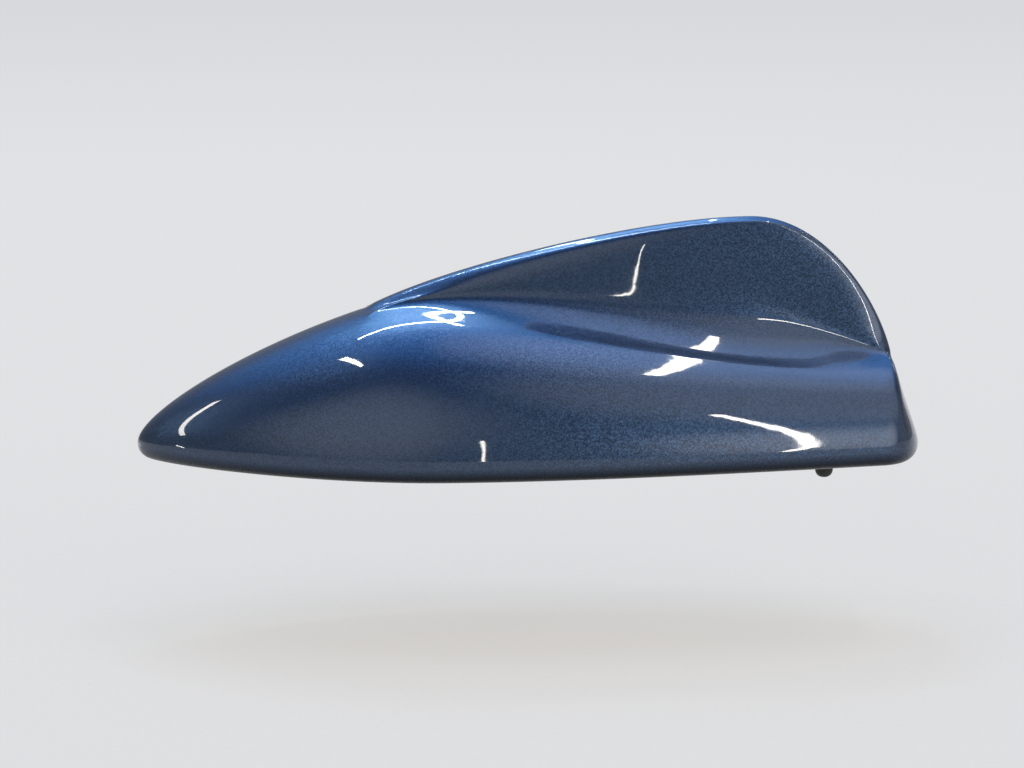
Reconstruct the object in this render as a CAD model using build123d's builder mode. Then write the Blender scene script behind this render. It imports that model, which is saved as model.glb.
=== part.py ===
from build123d import *

import os
from bisect import bisect
from math import cos, hypot, pi, radians, sin, sqrt

# Shark fin aerial for a car roof. A painted cover closes over a base plate that carries the boards,
# the aerials and the lead sockets. The roof surface is the plane Z = 0, the nose points to -X, and
# the origin lies on the roof surface on the axis of the fixing thread.

# Outside of the cover
length = 165.0
width = 66.4
height = 50.5
nose_to_bolt = 80.0
rim_height = 3.4
rim_radius = 3.2
widest_from_nose = 64.0
tail_width = 39.2
tail_corner = 9.0
tail_taper = 12.4
brow_from_nose = 47.0
brow_height = 31.0
brow_angle = 18.5
fin_front_angle = 31.0
crest_from_tail = 35.5
heel_height = 21.0
heel_from_tail = 5.4
heel_angle = 12.4
back_fall = 7.2
fin_root = 11.8
fin_ridge = 6.4
fin_thickest_from_tail = 59.0
fin_end_share = 0.5
ridge_drop = 2.8
root_blend = 5.5
fin_onset = 1.2

# Handles of the cover's guide curves
nose_rise = 5.8
brow_reach = 27.4
back_reach = 20.0
back_run = 55.4
heel_reach = 6.0
tail_rise = 1.5
fin_reach = 16.0
crest_front = 24.0
crest_rear = 16.0
fin_fall = 11.0
nose_blunt = 8.0
nose_full = 30.0
flank_reach = 30.0
tail_round = 5.8
heel_inset = 0.8
corner_inset = 0.5

# Sections of the cover: where they stand, where they fan out from, and how far below the rim they start
skirt = 12.0
fan_depth = 16.0
fan_from_nose = 44.0
fan_from_tail = 53.0
slim_below = 22.0
flank_foot = 0.18
flank_middle = 0.5
crown_reach = 0.55
crown_drop = 0.2
pod_points = 8
pod_samples = 80
guide_steps = 300
below_rim = (8.5, 6.0, 3.8, 1.8)
nose_steps = (0.0, 0.07, 0.14, 0.23, 0.34, 0.46, 0.58, 0.70, 0.82, 0.92)
front_steps = (0.0, 0.06, 0.13, 0.22, 0.34, 0.48, 0.64, 0.8)
rear_steps = (0.0, 0.18, 0.34, 0.48, 0.6, 0.72, 0.84, 0.93)
tail_steps = (0.0, 0.18, 0.34, 0.48, 0.6, 0.7, 0.8, 0.9, 1.0)

# Walls of the cover and the clearance between pieces that fit into each other
rim_wall = 4.2
rim_step = 0.3
rim_lap = 1.0
roof_wall = 2.4
fin_wall = 2.0
fit = 0.1

# Base plate, its seals and what reaches through the roof
seal_wall = 1.4
seal_lip = 2.6
seal_height = 1.2
plate_thickness = 3.6
spigot_front = 9.0
spigot_rear = 37.0
spigot_width = 17.0
spigot_corner = 6.0
spigot_depth = 3.5
spigot_chamfer = 1.0
gasket_border = 6.0
peg_from_tail = 19.3
peg_diameter = 3.8
peg_depth = 5.6
peg_tip = 1.6
insert_diameter = 9.0
insert_height = 2.2
insert_boss = 13.0
insert_groove = 0.5
groove_width = 1.2
groove_level = 1.2
thread_diameter = 5.0
thread_depth = 9.0
thread_chamfer = 0.6

# Screws and what they hold to
boss_diameter = 6.4
boss_from_nose = 25.0
boss_from_bolt = 5.0
boss_from_tail = 35.0
boss_from_edge = 11.5
boss_clearance = 0.6
cover_screw = 2.6
cover_screw_grip = 7.0
cover_screw_head = 5.0
cover_screw_head_height = 2.0
head_recess = 0.2
standoff_diameter = 5.0
standoff_height = 3.2
standoff_from_nose = 30.0
standoff_from_tail = 39.0
standoff_front_spread = 14.0
standoff_rear_spread = 18.0
board_screw = 2.2
board_screw_grip = 4.0
board_screw_head = 4.2
board_screw_head_height = 1.5

# Boards and aerials
board_thickness = 1.6
board_from_edge = 10.0
board_from_nose = 22.0
board_from_tail = 25.0
patch_size = 25.0
patch_height = 4.0
patch_from_nose = 46.0
patch_corner = 1.5
patch_pin_diameter = 1.2
patch_pin_head = 2.6
patch_pin_head_height = 0.5
can_length = 20.0
can_width = 13.0
can_height = 3.5
can_from_edge = 20.0
can_from_bolt = 8.0
fin_board_front = 8.0
fin_board_from_tail = 37.0
fin_board_thickness = 1.2
fin_board_clearance = 6.0
clip_length = 5.0
clip_width = 6.0
clip_height = 6.0
clip_from_end = 4.0
coil_from_tail = 54.0
coil_from_middle = 9.0
coil_diameter = 7.0
coil_core = 4.0
coil_height = 9.0
coil_flange = 1.0
coil_turns = 5
coil_ridge = 0.45
rear_antenna_from_tail = 31.0
rear_antenna_width = 18.0
rear_antenna_height = 8.0
rear_antenna_foot = 4.0
sheet = 0.6

# Lead sockets
socket_from_bolt = 16.0
socket_pitch = 13.0
socket_size = 10.0
socket_corner = 1.0
socket_bore = 7.2
socket_floor = 1.6
socket_recess = 0.5
shell_diameter = 4.2
shell_bore = 3.0
shell_recess = 1.5
pin_diameter = 0.9
pin_recess = 2.5

nose_x = -nose_to_bolt
tail_x = length - nose_to_bolt
plate_top = seal_height + plate_thickness
board_bottom = plate_top + standoff_height
board_top = board_bottom + board_thickness
upright = (Align.CENTER, Align.CENTER, Align.MIN)
outwards = (Align.CENTER, Align.MIN, Align.MIN)


def handle(point, angle, reach):
    """Control point at a distance from a guide's end, in a direction given in degrees."""
    return (point[0] + reach * cos(radians(angle)), point[1] + reach * sin(radians(angle)))


def point_on(guide, t):
    """Point of a cubic guide at a parameter from 0 to 1."""
    s = 1 - t
    weights = (s**3, 3 * s * s * t, 3 * s * t * t, t**3)
    return tuple(sum(w * p[i] for w, p in zip(weights, guide)) for i in (0, 1))


def trace_out(*guides):
    """Many points along a chain of guides, in the order of their first coordinate."""
    return [point_on(guide, i / guide_steps) for guide in guides for i in range(guide_steps + 1)]


def read_off(trace, x):
    """Second coordinate of a traced chain where it passes x, and zero beyond its ends."""
    if not trace[0][0] < x < trace[-1][0]:
        return 0.0
    i = bisect(trace, (x,))
    (x0, y0), (x1, y1) = trace[i - 1], trace[i]
    return y0 + (y1 - y0) * (x - x0) / max(x1 - x0, 1e-9)


def spread(path, count):
    """Points at even steps along a path drawn with many points."""
    runs = [0.0]
    for start, end in zip(path, path[1:]):
        runs.append(runs[-1] + hypot(end[0] - start[0], end[1] - start[1]))
    points = []
    for step in range(count + 1):
        goal = runs[-1] * step / count
        i = max(1, next(k for k, run in enumerate(runs) if run >= goal - 1e-9))
        share = (goal - runs[i - 1]) / (runs[i] - runs[i - 1])
        points.append(tuple(a + share * (b - a) for a, b in zip(path[i - 1], path[i])))
    return points


# Guide curves of the cover, each a cubic with its two ends and two handles. An inset moves the rim
# and the ends inwards, and a drop lowers the top, which gives the guides of the hollow inside.
def side_guides(inset, drop):
    """Side view in X and Z: nose, back of the pod, tail, and the fin's front and rear edges."""
    nose = (nose_x + inset, rim_height)
    brow = (nose_x + brow_from_nose, brow_height - drop)
    crest = (tail_x - crest_from_tail, height - drop)
    heel = (tail_x - heel_from_tail - inset * heel_inset, heel_height - drop)
    tail = (tail_x - inset, rim_height)
    nose_curve = [nose, handle(nose, 90, nose_rise), handle(brow, 180 + brow_angle, brow_reach), brow]
    back_curve = [brow, handle(brow, brow_angle, back_reach), handle(heel, 180 - back_fall, back_run), heel]
    tail_curve = [heel, handle(heel, heel_angle - 90, heel_reach), handle(tail, 90, tail_rise), tail]
    front_curve = [brow, handle(brow, fin_front_angle, fin_reach), handle(crest, 180, crest_front), crest]
    rear_curve = [crest, handle(crest, 0, crest_rear), handle(heel, 90 + heel_angle, fin_fall), heel]
    return nose_curve, back_curve, tail_curve, front_curve, rear_curve


def plan_guides(inset):
    """Half of the rim in X and Y: nose, flank and tail."""
    nose = (nose_x + inset, 0.0)
    widest = (nose_x + widest_from_nose, width / 2 - inset)
    corner = (tail_x - tail_corner - inset * corner_inset, tail_width / 2 - inset)
    tail = (tail_x - inset, 0.0)
    nose_curve = [nose, handle(nose, 90, nose_blunt), handle(widest, 180, nose_full), widest]
    corner_in = handle(corner, 180 - tail_taper, flank_reach)
    flank_curve = [widest, handle(widest, 0, flank_reach), corner_in, corner]
    round_end = handle(tail, 90, corner[1] - tail_round)
    tail_curve = [corner, handle(corner, -tail_taper, tail_round), round_end, tail]
    return nose_curve, flank_curve, tail_curve


rim_trace = trace_out(*plan_guides(0.0))
fin_trace = trace_out(*side_guides(0.0, 0.0)[3:])


def half_width(x):
    """Half-width of the cover's rim at x."""
    return read_off(rim_trace, x)


def ridge_height(x):
    """Height of the fin's ridge at x."""
    return read_off(fin_trace, x)


def half_body(inset, drop, fin_inset):
    """Half of the cover's outside, or of the hollow within its walls, above the top of the rim.

    Its sections stand upright along the middle and fan out over the nose and the tail. They start
    below the rim, so that the flat ends of the loft fall away where it is cut off at the rim's top.
    """
    plan_trace = trace_out(*plan_guides(inset))
    nose_curve, back_curve, tail_curve, front_curve, rear_curve = side_guides(inset, drop)
    thickest = tail_x - fin_thickest_from_tail
    fin_runs = (thickest - front_curve[0][0], rear_curve[3][0] - thickest)
    front_fan = nose_x + fan_from_nose
    rear_fan = tail_x - fan_from_tail
    floor = rim_height - skirt
    stations = [(nose_curve[0][0], rim_height - below) for below in below_rim]
    stations += [point_on(nose_curve, t) for t in nose_steps]
    stations += [point_on(front_curve, t) for t in front_steps]
    stations += [point_on(rear_curve, t) for t in rear_steps]
    stations += [point_on(tail_curve, t) for t in tail_steps]
    stations += [(tail_curve[3][0], rim_height - below) for below in reversed(below_rim)]

    pod_trace = trace_out(nose_curve, back_curve, tail_curve)

    def pod_side(x, z):
        top = read_off(pod_trace, x)
        rise = max(0.0, z - rim_height) / max(top - rim_height, 0.01)
        return read_off(plan_trace, x) * sqrt(max(0.0, 1 - rise**2))

    with BuildPart() as half:
        for x, z in stations:
            pivot = min(max(x, front_fan), rear_fan)
            lean = (x - pivot) / (z + fan_depth)
            stretch = hypot(1, lean)
            foot = pivot + lean * (floor + fan_depth)
            top = (z - floor) * stretch

            def side(up):
                return pod_side(foot + lean * up / stretch, floor + up / stretch)

            def up_to(across):
                low, high = 0.0, top
                for _ in range(40):
                    middle = (low + high) / 2
                    if side(middle) > across:
                        low = middle
                    else:
                        high = middle
                return low

            fin = top - up_to(0.0)
            slim = min(1.0, side(0.0) / slim_below)
            along = min(1.0, abs(x - thickest) / fin_runs[x > thickest])
            lens = 1 - (1 - fin_end_share) * along**2
            root = (fin_root / 2 - fin_inset) * lens * slim
            ridge = (fin_ridge / 2 - fin_inset) * lens * slim
            shoulder = root + root_blend * slim
            shoulder_up = up_to(shoulder)
            rises = [shoulder_up * sin(pi / 2 * i / pod_samples) for i in range(pod_samples + 1)]
            outline = spread([(side(up), up) for up in rises], pod_points)
            sag = ridge_drop * fin / (fin + ridge_drop)
            flanks = (
                (root, flank_foot * fin),
                ((root + ridge) / 2, flank_middle * fin),
                (ridge, fin - sag),
                (ridge * crown_reach, fin - sag * crown_drop),
                (0.0, fin),
            )
            grown = fin / (fin + fin_onset)
            for i, (target, lift) in enumerate(flanks):
                plain = shoulder * (1 - (i + 1) / len(flanks))
                across = plain + grown * (target - plain)
                outline.append((across, up_to(across) + lift))
            even = [i / (len(outline) - 1) for i in range(len(outline))]
            with BuildSketch(Plane(origin=(foot, 0, floor), x_dir=(0, 1, 0), z_dir=(1, 0, -lean))):
                with BuildLine():
                    add(Edge.make_spline([Vector(*point) for point in outline], parameters=even))
                    Line(outline[-1], (0, 0))
                    Line((0, 0), outline[0])
                make_face()
        loft()
        with Locations((0, 0, rim_height)):
            Box(2 * length, 2 * width, 2 * height, align=upright, mode=Mode.INTERSECT)
    return half


def rim_sketch(inset, level):
    """Outline of the rim moved inwards, as half a sketch on the level given."""
    with BuildSketch(Plane.XY.offset(level)) as outline:
        with BuildLine():
            for curve in plan_guides(inset):
                Bezier(*curve)
            Line((tail_x - inset, 0), (nose_x + inset, 0))
        make_face()
    return outline.sketch


seal_inset = rim_wall + rim_step + fit
plate_inset = seal_inset + seal_wall + fit

boss_stations = (nose_x + boss_from_nose, -boss_from_bolt, tail_x - boss_from_tail)
near_bosses = [(x, half_width(x) - boss_from_edge) for x in boss_stations]
far_bosses = [(x, -y) for x, y in near_bosses]
standoff_points = [
    (x, side * spread_width / 2)
    for x, spread_width in (
        (nose_x + standoff_from_nose, standoff_front_spread),
        (tail_x - standoff_from_tail, standoff_rear_spread),
    )
    for side in (-1, 1)
]
spigot_middle = (spigot_rear - spigot_front) / 2
spigot_length = spigot_front + spigot_rear
peg_x = tail_x - peg_from_tail
socket_stations = [socket_from_bolt, socket_from_bolt + socket_pitch]
patch_x = nose_x + patch_from_nose
fin_board_end = tail_x - fin_board_from_tail
coil_x = tail_x - coil_from_tail

# Cover: the outside less its hollow, which is left standing where the screw bosses are
with BuildPart() as cavity:
    add(half_body(rim_wall, roof_wall, fin_wall).part)
    with Locations(*[(x, y, plate_top) for x, y in near_bosses]):
        Cylinder(boss_diameter / 2, height, align=upright, mode=Mode.SUBTRACT)
    with BuildSketch(Plane.XY.offset(plate_top)):
        with Locations(*near_bosses):
            Circle(cover_screw / 2)
    extrude(amount=cover_screw_grip)
    extrude(rim_sketch(rim_wall + rim_step, 0), amount=plate_top)

with BuildPart() as cover:
    extrude(rim_sketch(rim_step, 0), amount=rim_height + rim_lap)
    bottom_edges = cover.edges().filter_by_position(Axis.Z, -rim_step, rim_step)
    fillet(bottom_edges.sort_by(SortBy.LENGTH)[-1], rim_radius)
    add(half_body(0.0, 0.0, 0.0).part)
    add(cavity.part, mode=Mode.SUBTRACT)
    mirror(about=Plane.XZ)

# Rim seal: an angled rubber ring between the cover and the edge of the base plate
with BuildPart() as rim_seal:
    extrude(rim_sketch(seal_inset, 0), amount=plate_top)
    extrude(rim_sketch(seal_inset + seal_wall, seal_height), amount=plate_thickness, mode=Mode.SUBTRACT)
    extrude(rim_sketch(seal_inset + seal_wall + seal_lip, 0), amount=seal_height, mode=Mode.SUBTRACT)
    mirror(about=Plane.XZ)

# Base plate: one casting with the spigot, the locating peg, the thread boss and the board's stand-offs
with BuildPart() as base_plate:
    extrude(rim_sketch(plate_inset, seal_height), amount=plate_thickness)
    mirror(about=Plane.XZ)
    with BuildSketch(Plane.XY.offset(seal_height)):
        with Locations((spigot_middle, 0)):
            RectangleRounded(spigot_length, spigot_width, spigot_corner)
    extrude(amount=-(seal_height + spigot_depth))
    chamfer(base_plate.faces().sort_by(Axis.Z)[0].edges(), spigot_chamfer)
    with BuildSketch(Plane.XY.offset(plate_top)):
        Circle(insert_boss / 2)
    extrude(amount=insert_height)
    with BuildSketch(Plane.XY.offset(plate_top)):
        with Locations(*standoff_points):
            Circle(standoff_diameter / 2)
    extrude(amount=standoff_height)
    with BuildSketch(Plane.XY.offset(seal_height)):
        with Locations((peg_x, 0)):
            Circle(peg_diameter / 2)
    extrude(amount=-(seal_height + peg_depth))
    fillet(base_plate.faces().sort_by(Axis.Z)[0].edges(), peg_tip)
    with BuildSketch(Plane.XY.offset(-spigot_depth)):
        Circle(insert_diameter / 2 + fit)
    extrude(amount=spigot_depth + plate_top + insert_height, mode=Mode.SUBTRACT)
    with BuildSketch(Plane.XY.offset(-spigot_depth)):
        with Locations(*[(x, 0) for x in socket_stations]):
            RectangleRounded(socket_size + 2 * fit, socket_size + 2 * fit, socket_corner)
    extrude(amount=spigot_depth + plate_top, mode=Mode.SUBTRACT)
    sunk = cover_screw_head_height + head_recess
    with Locations(*[(x, y, seal_height) for x, y in near_bosses + far_bosses]):
        Cylinder(cover_screw / 2 + fit, plate_thickness, align=upright, mode=Mode.SUBTRACT)
        Cylinder(cover_screw_head / 2 + 2 * fit, sunk, align=upright, mode=Mode.SUBTRACT)
    with Locations(*[(x, y, board_bottom - board_screw_grip) for x, y in standoff_points]):
        Cylinder(board_screw / 2, board_screw_grip, align=upright, mode=Mode.SUBTRACT)

# Roof gasket: a flat rubber pad round the spigot
with BuildPart() as roof_gasket:
    with BuildSketch():
        with Locations((spigot_middle, 0)):
            RectangleRounded(
                spigot_length + 2 * gasket_border,
                spigot_width + 2 * gasket_border,
                spigot_corner + gasket_border,
            )
            RectangleRounded(
                spigot_length + 2 * fit,
                spigot_width + 2 * fit,
                spigot_corner + fit,
                mode=Mode.SUBTRACT,
            )
    extrude(amount=seal_height)

# Threaded insert: a turned brass bush with a blind thread for the roof bolt and a grip groove
with BuildPart() as threaded_insert:
    with BuildSketch(Plane.XZ):
        with BuildLine():
            Polyline(
                (thread_diameter / 2 + thread_chamfer, -spigot_depth),
                (insert_diameter / 2, -spigot_depth),
                (insert_diameter / 2, groove_level - insert_groove),
                (insert_diameter / 2 - insert_groove, groove_level),
                (insert_diameter / 2 - insert_groove, groove_level + groove_width),
                (insert_diameter / 2, groove_level + groove_width + insert_groove),
                (insert_diameter / 2, plate_top + insert_height),
                (0, plate_top + insert_height),
                (0, thread_depth - spigot_depth),
                (thread_diameter / 2, thread_depth - spigot_depth),
                (thread_diameter / 2, thread_chamfer - spigot_depth),
                close=True,
            )
        make_face()
    revolve(axis=Axis.Z)

# Main board on the stand-offs, notched round the cover's screw bosses
with BuildPart() as main_board:
    extrude(rim_sketch(board_from_edge, board_bottom), amount=board_thickness)
    board_length = length - board_from_nose - board_from_tail
    with Locations((nose_x + board_from_nose + board_length / 2, 0, board_bottom)):
        Box(board_length, width, board_thickness, align=upright, mode=Mode.INTERSECT)
    notch = boss_diameter + 2 * boss_clearance
    with Locations(*[(x, y, board_bottom) for x, y in near_bosses]):
        Cylinder(notch / 2, board_thickness, align=upright, mode=Mode.SUBTRACT)
        Box(notch, width, board_thickness, align=outwards, mode=Mode.SUBTRACT)
    mirror(about=Plane.XZ)
    with Locations(*[(x, y, board_bottom) for x, y in standoff_points]):
        Cylinder(board_screw / 2 + fit, board_thickness, align=upright, mode=Mode.SUBTRACT)

# Satellite receiver: a ceramic patch with its feed pin
with BuildPart() as patch_antenna:
    with Locations((patch_x, 0, board_top)):
        Box(patch_size, patch_size, patch_height, align=upright)
        Cylinder(patch_pin_diameter / 2 + fit, patch_height, align=upright, mode=Mode.SUBTRACT)
    chamfer(patch_antenna.edges().filter_by(Axis.Z).filter_by(GeomType.LINE), patch_corner)

with BuildPart() as patch_pin:
    with Locations((patch_x, 0, board_top)):
        Cylinder(patch_pin_diameter / 2, patch_height, align=upright)
    with Locations((patch_x, 0, board_top + patch_height)):
        Cylinder(patch_pin_head / 2, patch_pin_head_height, align=upright)

# Shield can over the amplifier, a drawn sheet box open to the board
with BuildPart() as shield_can:
    with Locations((can_from_bolt, can_from_edge - half_width(can_from_bolt), board_top)):
        Box(can_length, can_width, can_height, align=upright)
        Box(
            can_length - 2 * sheet,
            can_width - 2 * sheet,
            can_height - sheet,
            align=upright,
            mode=Mode.SUBTRACT,
        )
    fillet(shield_can.faces().sort_by(Axis.Z)[-1].edges(), sheet / 2)

# Fin board: the radio aerial, a board that stands up into the fin and follows its ridge
with BuildPart() as fin_board:
    with BuildSketch(Plane.XZ):
        steps = [-fin_board_front + (fin_board_front + fin_board_end) * i / 4 for i in range(5)]
        ridge_line = [(x, ridge_height(x) - fin_board_clearance) for x in steps]
        feet = [(fin_board_end, board_top), (-fin_board_front, board_top)]
        with BuildLine():
            Spline(*ridge_line)
            Polyline(ridge_line[-1], *feet, ridge_line[0])
        make_face()
    extrude(amount=fin_board_thickness / 2, both=True)

with BuildPart() as fin_board_clips:
    clip_stations = (clip_from_end - fin_board_front, fin_board_end - clip_from_end)
    with Locations(*[(x, 0, board_top) for x in clip_stations]):
        Box(clip_length, clip_width, clip_height, align=upright)
        Box(clip_length, fin_board_thickness + 2 * fit, clip_height, align=upright, mode=Mode.SUBTRACT)

# Loading coil: a moulded former with its winding
with BuildPart() as coil_former:
    with Locations((coil_x, coil_from_middle, board_top)):
        Cylinder(coil_core / 2, coil_height, align=upright)
        Cylinder(coil_diameter / 2 + coil_ridge, coil_flange, align=upright)
    with Locations((coil_x, coil_from_middle, board_top + coil_height - coil_flange)):
        Cylinder(coil_diameter / 2 + coil_ridge, coil_flange, align=upright)

with BuildPart() as coil_winding:
    wound = coil_height - 2 * coil_flange - 2 * fit
    pitch = wound / coil_turns
    start = board_top + coil_flange + fit
    ridges = []
    for turn in range(coil_turns):
        ridges.append((coil_diameter / 2 - coil_ridge, start + turn * pitch))
        ridges.append((coil_diameter / 2, start + (turn + 0.5) * pitch))
    ridges.append((coil_diameter / 2 - coil_ridge, start + wound))
    with BuildSketch(Plane.XZ.offset(-coil_from_middle)):
        with BuildLine():
            Polyline(
                *[(coil_x + r, z) for r, z in ridges],
                (coil_x + coil_core / 2 + fit, start + wound),
                (coil_x + coil_core / 2 + fit, start),
                close=True,
            )
        make_face()
    revolve(axis=Axis((coil_x, coil_from_middle, 0), (0, 0, 1)))

# Rear aerial: a sheet flap bent up from its foot
with BuildPart() as rear_antenna:
    flap_x = tail_x - rear_antenna_from_tail
    with BuildSketch(Plane.XZ):
        with BuildLine():
            FilletPolyline(
                (flap_x, board_top + rear_antenna_height),
                (flap_x, board_top + sheet / 2),
                (flap_x + rear_antenna_foot, board_top + sheet / 2),
                radius=sheet,
            )
        trace(line_width=sheet)
    extrude(amount=rear_antenna_width / 2, both=True)

# Lead sockets under the main board, open downwards through the spigot
sockets = []
for station in socket_stations:
    with BuildPart() as socket:
        with BuildSketch(Plane.XY.offset(socket_recess - spigot_depth)):
            with Locations((station, 0)):
                RectangleRounded(socket_size, socket_size, socket_corner)
        extrude(amount=board_bottom + spigot_depth - socket_recess)
        with Locations((station, 0, socket_recess - spigot_depth)):
            Cylinder(
                socket_bore / 2,
                board_bottom + spigot_depth - socket_recess - socket_floor,
                align=upright,
                mode=Mode.SUBTRACT,
            )
            Cylinder(shell_diameter / 2 + fit, 2 * board_bottom, align=upright, mode=Mode.SUBTRACT)
    sockets.append(socket)

with BuildPart() as socket_shells:
    with Locations(*[(station, 0, shell_recess - spigot_depth) for station in socket_stations]):
        shell_length = board_bottom + spigot_depth - shell_recess
        Cylinder(shell_diameter / 2, shell_length, align=upright)
        Cylinder(shell_bore / 2, shell_length, align=upright, mode=Mode.SUBTRACT)

with BuildPart() as socket_pins:
    with Locations(*[(station, 0, pin_recess - spigot_depth) for station in socket_stations]):
        Cylinder(pin_diameter / 2, board_bottom + spigot_depth - pin_recess, align=upright)

# Screws: six hold the cover from below, four hold the main board from above
with BuildPart() as cover_screws:
    head_bottom = seal_height + head_recess
    with Locations(*[(x, y, head_bottom) for x, y in near_bosses + far_bosses]):
        Cylinder(cover_screw_head / 2, cover_screw_head_height, align=upright)
        Cylinder(cover_screw / 2 - fit / 2, plate_top + cover_screw_grip - fit - head_bottom, align=upright)

with BuildPart() as board_screws:
    with Locations(*[(x, y, board_top) for x, y in standoff_points]):
        Cylinder(board_screw_head / 2, board_screw_head_height, align=upright)
    shank = board_thickness + board_screw_grip - fit
    with Locations(*[(x, y, board_top - shank) for x, y in standoff_points]):
        Cylinder(board_screw / 2 - fit / 2, shank, align=upright)

pieces = {
    "cover": cover,
    "rim_seal": rim_seal,
    "base_plate": base_plate,
    "roof_gasket": roof_gasket,
    "threaded_insert": threaded_insert,
    "main_board": main_board,
    "patch_antenna": patch_antenna,
    "patch_pin": patch_pin,
    "shield_can": shield_can,
    "fin_board": fin_board,
    "fin_board_clips": fin_board_clips,
    "coil_former": coil_former,
    "coil_winding": coil_winding,
    "rear_antenna": rear_antenna,
    "front_socket": sockets[0],
    "rear_socket": sockets[1],
    "socket_shells": socket_shells,
    "socket_pins": socket_pins,
    "cover_screws": cover_screws,
    "board_screws": board_screws,
}
os.makedirs("parts", exist_ok=True)
for name, piece in pieces.items():
    piece.part.label = name
    export_step(piece.part, f"parts/{name}.step")
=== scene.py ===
import math

import bmesh
import bpy
import numpy as np
from mathutils import Matrix, Vector


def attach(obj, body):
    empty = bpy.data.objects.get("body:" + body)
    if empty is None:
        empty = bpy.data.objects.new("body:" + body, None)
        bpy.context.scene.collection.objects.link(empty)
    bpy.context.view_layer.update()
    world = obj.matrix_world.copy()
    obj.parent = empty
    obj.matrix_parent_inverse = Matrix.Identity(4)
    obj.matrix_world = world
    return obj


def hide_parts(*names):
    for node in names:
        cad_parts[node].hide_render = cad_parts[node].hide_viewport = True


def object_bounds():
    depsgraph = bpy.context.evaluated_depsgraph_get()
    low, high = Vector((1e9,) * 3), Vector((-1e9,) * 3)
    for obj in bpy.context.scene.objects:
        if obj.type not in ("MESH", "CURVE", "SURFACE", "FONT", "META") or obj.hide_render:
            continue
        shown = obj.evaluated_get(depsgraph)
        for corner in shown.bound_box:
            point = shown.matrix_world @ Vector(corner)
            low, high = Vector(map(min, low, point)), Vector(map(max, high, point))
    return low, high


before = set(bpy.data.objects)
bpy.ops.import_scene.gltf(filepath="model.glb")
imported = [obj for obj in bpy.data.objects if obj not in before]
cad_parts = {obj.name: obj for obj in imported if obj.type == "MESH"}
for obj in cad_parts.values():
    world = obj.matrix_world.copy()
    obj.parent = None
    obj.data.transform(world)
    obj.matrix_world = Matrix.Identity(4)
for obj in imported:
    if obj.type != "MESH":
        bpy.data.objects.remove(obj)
cad_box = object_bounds()


# Base plate: a black glass-filled moulding that carries everything else. Its skin is dull and finely pitted,
# as the mould left it.
def finish(name, low, high, grain, roughness, metallic, depth):
    """A material whose tone and gloss vary with a fine grain, pitted to the depth given in metres."""
    gloss_spread = 0.08
    material = bpy.data.materials.new(name)
    material.use_nodes = True
    nodes, links = material.node_tree.nodes, material.node_tree.links
    shader = nodes["Principled BSDF"]
    shader.inputs["Metallic"].default_value = metallic
    place = nodes.new("ShaderNodeTexCoord")
    noise = nodes.new("ShaderNodeTexNoise")
    noise.inputs["Scale"].default_value = 1 / grain
    noise.inputs["Detail"].default_value = 3
    links.new(place.outputs["Object"], noise.inputs["Vector"])
    tone = nodes.new("ShaderNodeValToRGB")
    tone.color_ramp.elements[0].position = 0.35
    tone.color_ramp.elements[0].color = (*low, 1)
    tone.color_ramp.elements[1].position = 0.65
    tone.color_ramp.elements[1].color = (*high, 1)
    links.new(noise.outputs["Fac"], tone.inputs["Fac"])
    links.new(tone.outputs["Color"], shader.inputs["Base Color"])
    gloss = nodes.new("ShaderNodeMapRange")
    gloss.inputs["To Min"].default_value = roughness - gloss_spread
    gloss.inputs["To Max"].default_value = roughness + gloss_spread
    links.new(noise.outputs["Fac"], gloss.inputs["Value"])
    links.new(gloss.outputs["Result"], shader.inputs["Roughness"])
    relief = nodes.new("ShaderNodeBump")
    relief.name = "relief"
    relief.inputs["Distance"].default_value = depth
    links.new(noise.outputs["Fac"], relief.inputs["Height"])
    links.new(relief.outputs["Normal"], shader.inputs["Normal"])
    return material


def dress(material, *names):
    """Puts a finish on nodes of the frame."""
    for name in names:
        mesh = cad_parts[name].data
        mesh.materials.clear()
        mesh.materials.append(material)


moulding = finish("moulding", (0.018, 0.018, 0.019), (0.030, 0.030, 0.031),
                  grain=0.0006, roughness=0.58, metallic=0.0, depth=0.00006)
dress(moulding, "base_plate")

# Seals: the ring between cover and plate and the pad round the spigot, both cut or moulded from black
# rubber. The rubber is matt, with a greyish bloom in patches.
seal_rubber = finish("seal_rubber", (0.016, 0.016, 0.016), (0.040, 0.040, 0.039),
                     grain=0.004, roughness=0.78, metallic=0.0, depth=0.00003)
dress(seal_rubber, "rim_seal")
pad_rubber = finish("pad_rubber", (0.024, 0.024, 0.024), (0.050, 0.050, 0.050),
                    grain=0.0025, roughness=0.82, metallic=0.0, depth=0.00005)
dress(pad_rubber, "roof_gasket")


# Threaded insert: a turned brass bush, pressed into the spigot, with a blind M6 thread for the roof bolt and
# a groove that the plastic grips. The tool left fine rings on it.
def turned(name, radii, levels):
    """A closed turned shape: rows of radii and levels in millimetres, each row once round the axis."""
    crease = math.radians(40)
    shape = bmesh.new()
    around = radii.shape[1]
    angles = 2 * np.pi * np.arange(around) / around
    places = np.stack([radii * np.cos(angles), radii * np.sin(angles), levels], axis=2) / 1000
    rows = [[shape.verts.new(place) for place in row] for row in places]
    for low, high in zip(rows, rows[1:]):
        for i in range(around):
            k = (i + 1) % around
            shape.faces.new((low[i], low[k], high[k], high[i])).smooth = True
    bmesh.ops.remove_doubles(shape, verts=shape.verts, dist=1e-7)
    bmesh.ops.dissolve_degenerate(shape, edges=shape.edges, dist=1e-8)
    bmesh.ops.recalc_face_normals(shape, faces=shape.faces)
    for edge in shape.edges:
        edge.smooth = edge.calc_face_angle(0.0) < crease
    mesh = bpy.data.meshes.new(name)
    shape.to_mesh(mesh)
    shape.free()
    return mesh


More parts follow.
